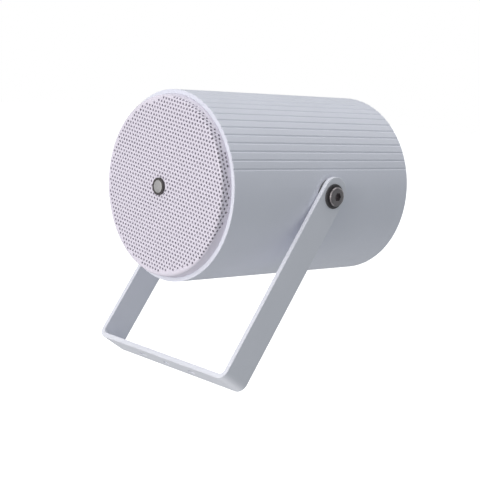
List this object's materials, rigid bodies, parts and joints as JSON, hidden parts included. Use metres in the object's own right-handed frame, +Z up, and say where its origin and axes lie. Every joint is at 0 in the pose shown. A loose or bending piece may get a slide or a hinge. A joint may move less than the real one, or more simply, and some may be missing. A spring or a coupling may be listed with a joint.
{
  "type": "outdoor loudspeaker",
  "caption": "Cylindrical outdoor sound projector: ribbed metal tube with a perforated round front grille, a cone drive unit inside, held by pivots in a flat-strip U-bracket.",
  "frame": {"origin": "centre of the bracket base's middle hole, on the base's outer face", "axes": "+Z up, -Y the way the grille faces, X along the pivot axis; the tube's axis is level along Y and the bracket leans forward 33.2 degrees below it"},
  "size_m": [0.168, 0.2263, 0.2249],
  "materials": {
    "bracket_paint": "satin powder coat",
    "case_paint": "fine powder coat over extruded aluminium",
    "grille_paint": "satin powder coat on perforated sheet",
    "cap_paint": "fine powder coat over turned aluminium",
    "grey_cloth": "acoustic cloth",
    "badge_black": "moulded, satin",
    "badge_silver": "satin",
    "board": "sealed fibreboard",
    "zinc_screw": "zinc plated",
    "black_steel": "black pressed steel",
    "gasket": "cork board",
    "rubber": "moulded, matt",
    "paper": "pressed pulp",
    "spider_cloth": "impregnated cotton",
    "former": "thin foil",
    "copper": "enamelled wire",
    "steel": "zinc plated",
    "ferrite": "sintered, ground faces",
    "laminate": "phenolic board",
    "tinned": "tinned",
    "wool": "loose fibre",
    "core_steel": "varnished stack",
    "bobbin_plastic": "moulded",
    "block_plastic": "moulded",
    "brass_screw": "turned",
    "wire_sleeve": "sleeving",
    "line_sleeve": "sleeving",
    "gland_plastic": "moulded",
    "dark_bolt": "dark plated"
  },
  "bodies": {
    "bracket": {"u_bracket": "bracket_paint"},
    "case": {"body_tube": "case_paint", "front_grille": "grille_paint", "grille_cloth": "grey_cloth", "grille_badge": "badge_black", "badge_insert": "badge_silver", "front_baffle": "board", "baffle_screws": "zinc_screw", "driver_basket": "black_steel", "driver_screws": "zinc_screw", "driver_gasket": "gasket", "cone_surround": "rubber", "spider": "spider_cloth", "top_plate": "steel", "magnet": "ferrite", "yoke": "steel", "tag_board": "laminate", "solder_tags": "tinned", "acoustic_wool": "wool", "transformer_core": "core_steel", "transformer_bobbin": "bobbin_plastic", "transformer_winding": "copper", "transformer_frame": "steel", "terminal_block": "block_plastic", "terminal_screws": "brass_screw", "inner_screws": "zinc_screw", "driver_leads": "wire_sleeve", "line_leads": "line_sleeve", "rear_cap": "cap_paint", "rear_seal": "rubber", "rear_screws": "zinc_screw", "gland_body": "gland_plastic", "gland_washer": "rubber", "gland_seal": "rubber", "gland_nut": "gland_plastic", "gland_locknut": "gland_plastic", "pivot_pads": "rubber", "pivot_inserts": "steel", "pivot_washers": "rubber", "pivot_bolts": "dark_bolt"},
    "cone_assembly": {"cone": "paper", "whizzer_cone": "paper", "dust_cap": "paper", "coil_former": "former", "coil_winding": "copper"}
  },
  "joints": [
    {"name": "tilt", "type": "hinge", "parent": "bracket", "child": "case", "pos_m": [0, 0.09363, 0.14309], "axis": [1, 0, 0], "continuous": true},
    {"name": "cone_travel", "type": "slide", "parent": "case", "child": "cone_assembly", "axis": [0, -1, 0], "range_m": [-0.0025, 0.0025], "stiffness_N_per_m": 1500, "deforming": ["cone_surround", "spider"]}
  ]
}
